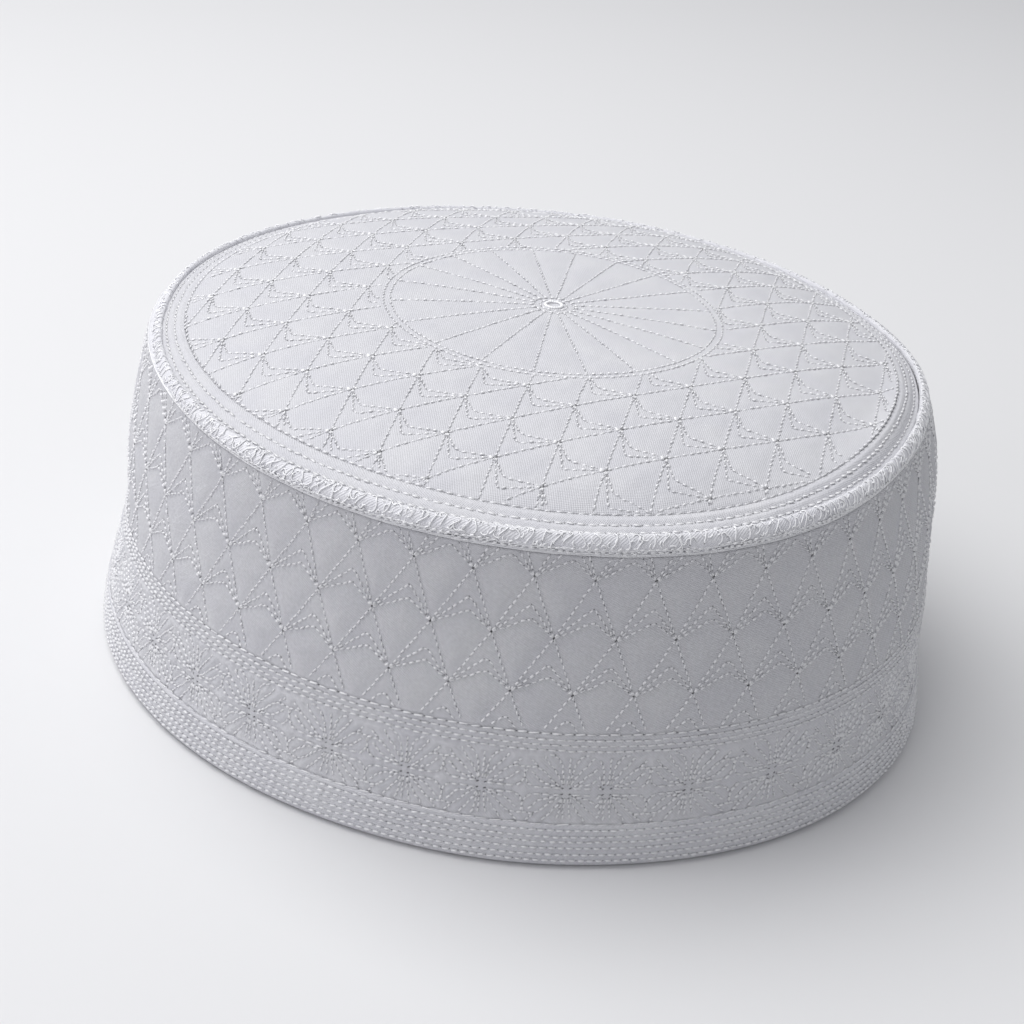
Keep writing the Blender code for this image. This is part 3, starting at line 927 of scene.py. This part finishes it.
def thread_material(name, colour=(0.97, 0.97, 0.98)):
    """Glossy white thread, with the strands of its twist."""
    material, tree, shader = new_material(name, colour, Roughness=0.3, Specular_IOR_Level=0.9,
                                          Sheen_Weight=0.2)
    place = tree.nodes.new("ShaderNodeTexCoord").outputs["Object"]
    strands = texture(tree, "TexWave", place, Scale=WAVE / 0.00018, Distortion=2.0, Detail=1.0)
    strands.bands_direction = "DIAGONAL"
    relief = raised(tree, strands.outputs["Fac"], 0.25, 0.00003)
    tree.links.new(relief.outputs["Normal"], shader.inputs["Normal"])
    tone = texture(tree, "TexNoise", place, Scale=900.0, Detail=2.0)
    dull = np.multiply(colour, (0.92, 0.92, 0.93))
    tree.links.new(graded(tree, tone.outputs["Fac"], dull, colour), shader.inputs["Base Color"])
    return material


def pit_shade_material(name, tone):
    """Painted shade for the inside of a needle hole, worn by small dark peaks above the cloth."""
    material, tree, shader = new_material(name, (tone, tone, tone * 1.03), Roughness=1.0,
                                          Specular_IOR_Level=0.0)
    place = tree.nodes.new("ShaderNodeTexCoord").outputs["Object"]
    spread = texture(tree, "TexNoise", place, Scale=600.0, Detail=1.0)
    low, high = (tone * 0.5, tone * 0.5, tone * 0.52), (tone * 1.5, tone * 1.5, tone * 1.55)
    tree.links.new(graded(tree, spread.outputs["Fac"], low, high), shader.inputs["Base Color"])
    return material


# Every piece is the same white cotton; its tone, set piece by piece from 0.70 on the crown to 0.86 on
# the roll, is painted light and shade
CROWN_COTTON = cotton_material("crown_cotton", -12, 0.70, 1.2, 0.0002, 0.00015, 0.95)
SHOULDER_COTTON = cotton_material("shoulder_cotton", 52, 0.74, 3.0, 0.0003, 0.00025, 0.93)
LIT_ROLL_COTTON = cotton_material("roll_cotton_painted_light", 52, 0.86, 3.0, 0.0003, 0.00025, 0.93)
SIDE_COTTON = cotton_material("side_cotton", 120, 0.712, 2.4, 0.00035, 0.0004)
LIT_LOWER_COTTON = cotton_material("lower_cotton_painted_light", 135, 0.78, 2.6, 0.0004, 0.0008)
LIT_HEM_COTTON = cotton_material("hem_cotton_painted_light", 52, 0.84, 3.0, 0.0004, 0.0004)
THREAD = thread_material("satin_thread")
# Stitches of the crown and the shoulder: the same white thread in a darker tone, painted shade for the
# brightly lit crown
SHADED_CROWN_THREAD = thread_material("crown_thread_painted_shade", (0.92, 0.92, 0.93))
# Needle pits: dark marks of painted shade, lighter on the crown and the seam than on the side
CROWN_PIT_SHADE = pit_shade_material("crown_needle_pit_painted_shade", 0.38)
SIDE_PIT_SHADE = pit_shade_material("side_needle_pit_painted_shade", 0.17)
CROWN_FINISH = (SHADED_CROWN_THREAD, CROWN_PIT_SHADE)
SEAM_FINISH = (THREAD, CROWN_PIT_SHADE)
SIDE_FINISH = (THREAD, SIDE_PIT_SHADE)


# Pieces

def disc(rings, upward):
    """Spots and triangles of the crown's plan, whose ring k has six times k points."""
    spots = [np.array(((0.0, CROWN_LEAN),))]
    faces = []
    for k in range(1, rings + 1):
        spots.append(ring_spots(even_angles(6 * k), CROWN_EDGE * k / rings))
        outer, inner = 1 + 3 * k * (k - 1), 1 + 3 * (k - 1) * (k - 2)
        for number in range(6 * k):
            side, step = divmod(number, k)
            a, b = outer + number, outer + (number + 1) % (6 * k)
            c = inner + (number - side) % (6 * k - 6) if k > 1 else 0
            faces.append((a, b, c))
            if step:
                faces.append((inner + number - side - 1, a, c))
    faces = np.array(faces)
    return np.concatenate(spots), faces if upward else faces[:, ::-1]


def crown_cloth(seams):
    """Quilted top, its turned edge and its underside, as one closed shell."""
    top, top_faces = disc(CROWN_RINGS, upward=True)
    under, under_faces = disc(UNDER_RINGS, upward=False)
    relief = quilted_relief(crown_point, seams, *CROWN_QUILT)
    from_eyelet = np.linalg.norm(top - PATTERN_MIDDLE, axis=1)
    dimple = EYELET_DIMPLE * np.exp(-(from_eyelet / EYELET_REACH) ** 4)
    upper = crown_point(top, relief(crown_point(top)) - dimple)
    lower = crown_point(under, -WALL - UNDER_RELIEF * relief(crown_point(under)))
    rim, under_rim = 6 * CROWN_RINGS, 6 * UNDER_RINGS
    edge = top[-rim:]
    points = np.concatenate([upper, crown_point(edge, -WALL * EDGE_DEPTH), lower])
    # Point numbers round the top's rim, the turned edge and the underside's rim
    high = len(top) - rim + np.arange(rim + 1) % rim
    fold = high + rim
    low = len(points) - under_rim + np.arange(under_rim + 1) % under_rim
    faces = [*top_faces, *np.stack([high[:-1], fold[:-1], fold[1:], high[1:]], 1)]
    for i, outer in enumerate(fold[:-1].reshape(under_rim, -1)):
        after = fold[(i + 1) * len(outer)]
        faces.append(np.array((after, *outer[::-1], low[i], low[i + 1])))
    faces += [*(under_faces + len(top) + rim)]
    plan = np.concatenate([top, edge, under])
    result = add_mesh("crown_cloth", points, faces, [CROWN_COTTON], [plan[face] for face in faces])
    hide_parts("crown_panel")
    return result


def make_crown():
    medallion, cells = medallion_seams(), crown_seams()
    edge = sew([ring_spots(ROUND, CROWN_EDGE - 0.1)], crown_point, EDGE_PITCH)
    cloth = crown_cloth([medallion, cells, edge])
    quilting = add_stitches("crown_stitches", [medallion, cells], crown_point, CROWN_FINISH,
                            crown_nodes(), CROWN_NODE_PIT, clear=(1.0, 0.0, 0.0))
    border = add_stitches("crown_edge_stitches", [edge], crown_point, CROWN_FINISH)


def make_shoulder():
    """Two padded channels between three rows of stitches."""
    rows = [sew([spots_at(ROUND + shift, share)], shoulder_point, EDGE_PITCH)
            for share, shift in ((MIDDLE_ROW, 0.004), (OUTER_ROW, 0.009))]
    held = (0.0, MIDDLE_ROW, OUTER_ROW)

    def creases(base):
        return PUCKER_DEPTH * field(base, PUCKER)

    section = [(SHOULDER_START, -0.3, 0.0)]
    for share in np.linspace(-0.03, 1.0, 17):
        gap = min(abs(share - line) for line in held) * (SHOULDER_EDGE - SHOULDER_INNER)
        base = np.interp(share, (0, MIDDLE_ROW), CHANNEL_STAND)
        section.append((share, base + quilted(gap, *CHANNEL_QUILT), min(1.0, gap)))
    section += [(1.1, 0.08, 0.0), (1.17, 0.1, 0.0), (SHOULDER_END, -0.3, 0.0),
                *((share, -WALL, 0.0) for share in (SHOULDER_END, 0.5, SHOULDER_START))]
    cloth = band_shell("shoulder_cloth", "shoulder_band", section, shoulder_point, SHOULDER_GIRTH,
                       creases, SHOULDER_COTTON, 900)
    cloth.data.flip_normals()
    add_stitches("shoulder_stitches", rows, shoulder_point, CROWN_FINISH)


def make_wall():
    seams = wall_seams()
    relief = quilted_relief(side_point, [seams], *WALL_QUILT)
    section = upright_section(WALL_FACE, WALL_EDGES, 0.6, 6.0)
    cloth = band_shell("wall_cloth", "side_wall", section, side_point, WALL_GIRTH, relief, SIDE_COTTON)
    stitches = add_stitches("wall_stitches", [seams], side_point, SIDE_FINISH, wall_nodes(),
                            WALL_NODE_PIT)


def make_lower_band():
    flowers, lines = flower_seams()
    ribs = [level_row(height, RIB_PITCH, phase=0.01 * i) for i, height in enumerate(RIB_HEIGHTS[1:])]
    top_row = level_row(RIB_HEIGHTS[0], TOP_RIB_PITCH)
    pits = flower_pits()
    relief = quilted_relief(side_point, [flowers, lines, *ribs, top_row, (pits, pits)], *LOWER_QUILT)
    section = upright_section(LOWER_FACE, LOWER_EDGES, 0.5, 5.0)
    cloth = band_shell("lower_cloth", "lower_band", section, side_point, LOWER_GIRTH, relief,
                       LIT_LOWER_COTTON)
    sewn = [add_stitches("flower_stitches", [flowers], side_point, SIDE_FINISH, pits, FLOWER_NODE_PIT),
            add_stitches("line_stitches", [lines], side_point, SIDE_FINISH),
            add_stitches("rib_stitches", ribs, side_point, SIDE_FINISH),
            add_stitches("rib_edge_stitches", [top_row], side_point, SIDE_FINISH)]


def make_hem():
    rows = [level_row(height, HEM_PITCH, phase=0.013 * i) for i, height in enumerate(HEM_ROWS)]
    edge = level_row(HEM_TOP, HEM_EDGE_PITCH, wander=0.06)
    relief = quilted_relief(side_point, rows, *HEM_QUILT)
    section = [*HEM_FOLD, *rows_between(1.6, HEM_TOP - 0.35, 0.4, HEM_STAND)]
    section += [(HEM_TOP, 0.36, 0.0), (HEM_TOP + 0.12, 0.12, 0.0), (HEM_TOP + 0.12, -0.3, 0.0)]
    section += rows_between(0.0, HEM_TOP + 0.12, 3.0, HEM_STAND - HEM_WALL, 0.0)[::-1]
    cloth = band_shell("hem_cloth", "hem_band", section, side_point, HEM_GIRTH, relief, LIT_HEM_COTTON)
    sewn = [add_stitches("hem_stitches", rows, side_point, SIDE_FINISH),
            add_stitches("hem_edge_stitches", [edge], side_point, SIDE_FINISH)]


def tube(centres, radius, closed):
    """Points and faces of a round thread along a line of centres."""
    ahead = np.roll(centres, -1, 0) - np.roll(centres, 1, 0)
    if not closed:
        ahead[0], ahead[-1] = centres[1] - centres[0], centres[-1] - centres[-2]
    ahead = unit(ahead)
    side = np.cross(ahead, (0.0, 0.0, 1.0))
    weak = np.linalg.norm(side, axis=1) < 0.05
    side[weak] = np.cross(ahead[weak], (1.0, 0.0, 0.0))
    side = unit(side)
    top = np.cross(side, ahead)
    rings = [side * math.cos(turn) + top * math.sin(turn) for turn in even_angles(THREAD_SIDES)]
    points = (centres[:, None] + radius * np.stack(rings, 1)).reshape(-1, 3)
    faces = [*np.roll(ring_faces(len(centres), THREAD_SIDES)[0][:, ::-1], 1, axis=1)]
    if not closed:
        first_end = np.arange(THREAD_SIDES)
        faces[-THREAD_SIDES:] = [first_end, first_end[::-1] + len(points) - THREAD_SIDES]
    return points, faces


def add_threads(name, lines, radius, closed):
    """Joined mesh of several threads."""
    points, faces, count = [], [], 0
    for line in lines:
        more, more_faces = tube(line, radius, closed)
        points.append(more)
        faces += [face + count for face in more_faces]
        count += len(more)
    result = add_mesh(name, np.concatenate(points), faces, [THREAD])
    return result


def thread_places(table):
    """Angles round the cap, as close together as a table's second column says."""
    angles = [-math.pi]
    while angles[-1] < math.pi:
        step = np.interp(math.degrees(angles[-1]), table[:, 0], table[:, 1]) * chance.uniform(0.7, 1.3)
        angles.append(angles[-1] + step / ROLL_RADIUS)
    return angles[:-2]


def make_roll():
    """Padded roll at the rim, with loose loops of satin thread over it."""
    angles = even_angles(SIDE_COLUMNS) - math.pi
    loops = thread_places(LOOPS)
    gathers = np.interp(angles, loops, np.arange(len(loops)))
    rows = []
    for turn in even_angles(ROLL_SIDES):
        spots = spots_at(angles, turn)
        slanted = gathers * TURN + 1.2 * math.sin(turn)
        loose = 0.07 * field(roll_point(spots), PUCKER) + GATHER_DEPTH * np.cos(slanted)
        rows.append(roll_point(spots, loose))
    faces, row, column = ring_faces(ROLL_SIDES, SIDE_COLUMNS)
    uvs = np.stack([column * TURN * ROLL_RADIUS / SIDE_COLUMNS, row * TURN * ROLL_TALL / ROLL_SIDES], 2)
    roll = add_mesh("roll_cloth", np.concatenate(rows), faces, [LIT_ROLL_COTTON], uvs)
    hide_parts("rim_roll")
    lines = []
    for start in loops:
        lean = np.interp(math.degrees(start), LOOPS[:, 0], LOOPS[:, 2]) + chance.uniform(-0.4, 0.4)
        lines.append(whip(start, chance.uniform(1.6, 2.2), chance.uniform(-0.9, 0.1), lean,
                          chance.uniform(0.1, 1.0), chance.uniform(-0.8, 0.8)))
    for start in thread_places(CURLS):
        lines.append(curl(start, chance.uniform(-0.6, 1.6), chance.uniform(0.25, 0.7),
                          chance.uniform(0.3, 0.8), chance.uniform(0, TURN), chance.uniform(1.6, 4.6)))
    add_threads("roll_whipping", lines, LOOP_THREAD, False)


def over_roll(start, shift, turn):
    """Centres of a thread over the roll, whose ends dive into the cloth."""
    share = np.linspace(0, 1, len(turn))
    stand = LOOP_LIFT + LOOP_ARCH * np.sin(math.pi * share)
    stand[0] = stand[-1] = LOOP_END
    return roll_point(spots_at(start + shift / ROLL_RADIUS, turn), stand)


def whip(start, high, low, slant, curl, twist):
    """One thread over the roll, from a high to a low turn of its section.

    slant is how far it goes along the rim, curl how far it bows and twist how far it doubles
    back, in millimetres.
    """
    share = np.linspace(0, 1, 11)
    bow = curl * np.sin(math.pi * share) + twist * np.sin(TURN * share)
    return over_roll(start, slant * (share - 0.5) + bow, high + (low - high) * share)


def curl(start, turn, wide, tall, first, sweep):
    """A small open loop that lies on the roll, wide along it and tall across, in millimetres."""
    round_it = first + sweep * np.linspace(0, 1, 10)
    return over_roll(start, wide * np.cos(round_it), turn + tall * np.sin(round_it) / ROLL_TALL)


def make_seam():
    """The seam under the roll: its ridge, long threads along it and small uneven stitches."""
    section = [(SEAM_LOW + up, stand, 0.0) for up, stand in SEAM_RIDGE]
    section += [(SEAM_HIGH, 0.26, 0.0), (SEAM_HIGH + 0.08, -0.3, 0.0), (SEAM_HIGH, -WALL, 0.0),
                (SEAM_LOW, -WALL, 0.0)]
    band_shell("seam_cloth", "seam_cord", section, side_point, SEAM_GIRTH, None, LIT_ROLL_COTTON)
    angles = even_angles(900)
    lines = []
    for height, wander in SEAM_LINES:
        waved = height + wander * np.sin(37 * angles + height) + wander / 2 * np.sin(131 * angles)
        lines.append(seam_point(spots_at(angles, waved), 0.08))
    add_threads("seam_threads", lines, SEAM_THREAD, True)
    small = [level_row(SEAM_HIGH + up, pitch, wander=0.14, phase=up) for up, pitch in SEAM_ROWS]
    add_stitches("seam_stitches", small, seam_point, SEAM_FINISH)


def make_eyelet():
    """Satin ring round the hole at the middle of the crown."""
    middle = np.append(PATTERN_MIDDLE, crown_point(PATTERN_MIDDLE[None])[0, 2] + EYELET_LIFT)
    turns = even_angles(EYELET_STEPS)
    uneven = EYELET_RELIEF * np.cos(EYELET_RIDGES * turns) + EYELET_UNEVEN * np.cos(3 * turns)
    ridge = EYELET_WIRE * (1 + uneven)
    rings = []
    for angle in even_angles(EYELET_SIDES):
        out = EYELET_RADIUS + ridge * math.cos(angle)
        rise = ridge * EYELET_FLAT * math.sin(angle)
        rings.append(np.stack([out * np.cos(turns), out * np.sin(turns), rise], 1))
    faces, _, _ = ring_faces(EYELET_SIDES, EYELET_STEPS)
    ring = add_mesh("eyelet_ring", np.concatenate(rings) + middle, faces, [THREAD])
    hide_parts("centre_eyelet")


# Stage

def add_floor():
    mesh = bpy.data.meshes.new("floor")
    corners = [(x * FLOOR_HALF, y * FLOOR_HALF, 0) for x, y in ((-1, -1), (1, -1), (1, 1), (-1, 1))]
    mesh.from_pydata(corners, [], [(0, 1, 2, 3)])
    mesh.materials.append(new_material("pale_floor", FLOOR_COLOUR, Roughness=0.9)[0])
    add_object("floor", mesh)


def add_lights():
    for name, location, size, power, colour in LIGHTS:
        light = bpy.data.lights.new(name, "AREA")
        light.size = size
        light.energy = power
        light.color = colour
        item = add_object(name, light)
        item.location = location
        item.rotation_euler = (LIGHT_AIM - Vector(location)).to_track_quat("-Z", "Y").to_euler()
    world = bpy.data.worlds.new("studio")
    world.use_nodes = True
    set_inputs(world.node_tree.nodes["Background"], {"Color": SKY_COLOUR, "Strength": SKY_STRENGTH})
    bpy.context.scene.world = world


def add_camera():
    """The photograph's camera, aimed so that the crown's middle lies at AIM_PIXEL."""
    data = bpy.data.cameras.new("camera")
    data.lens = LENS
    data.sensor_width = SENSOR
    data.clip_start = 0.01
    camera = add_object("camera", data)
    back = Vector((0.0, -math.cos(CAMERA_ELEVATION), math.sin(CAMERA_ELEVATION)))
    right = Matrix.Rotation(CAMERA_ROLL, 3, back) @ Vector((1.0, 0.0, 0.0))
    level = Matrix((right, back.cross(right), back)).transposed()
    focal = LENS / SENSOR * FRAME_PIXELS
    middle = FRAME_PIXELS / 2
    aim = Vector(((AIM_PIXEL[0] - middle) / focal, (middle - AIM_PIXEL[1]) / focal, -1.0))
    swing = Vector((0.0, 0.0, -1.0)).rotation_difference(aim).to_matrix()
    target = Vector((*PATTERN_MIDDLE, CROWN_TOP)) * MM
    turned = level @ swing.transposed()
    camera.matrix_world = Matrix.Translation(target + back * CAMERA_DISTANCE * MM) @ turned.to_4x4()
    bpy.context.scene.camera = camera


make_crown()
make_shoulder()
make_roll()
make_seam()
make_wall()
make_lower_band()
make_hem()
make_eyelet()
add_floor()
add_lights()
add_camera()
bpy.context.scene.view_settings.view_transform = "Standard"
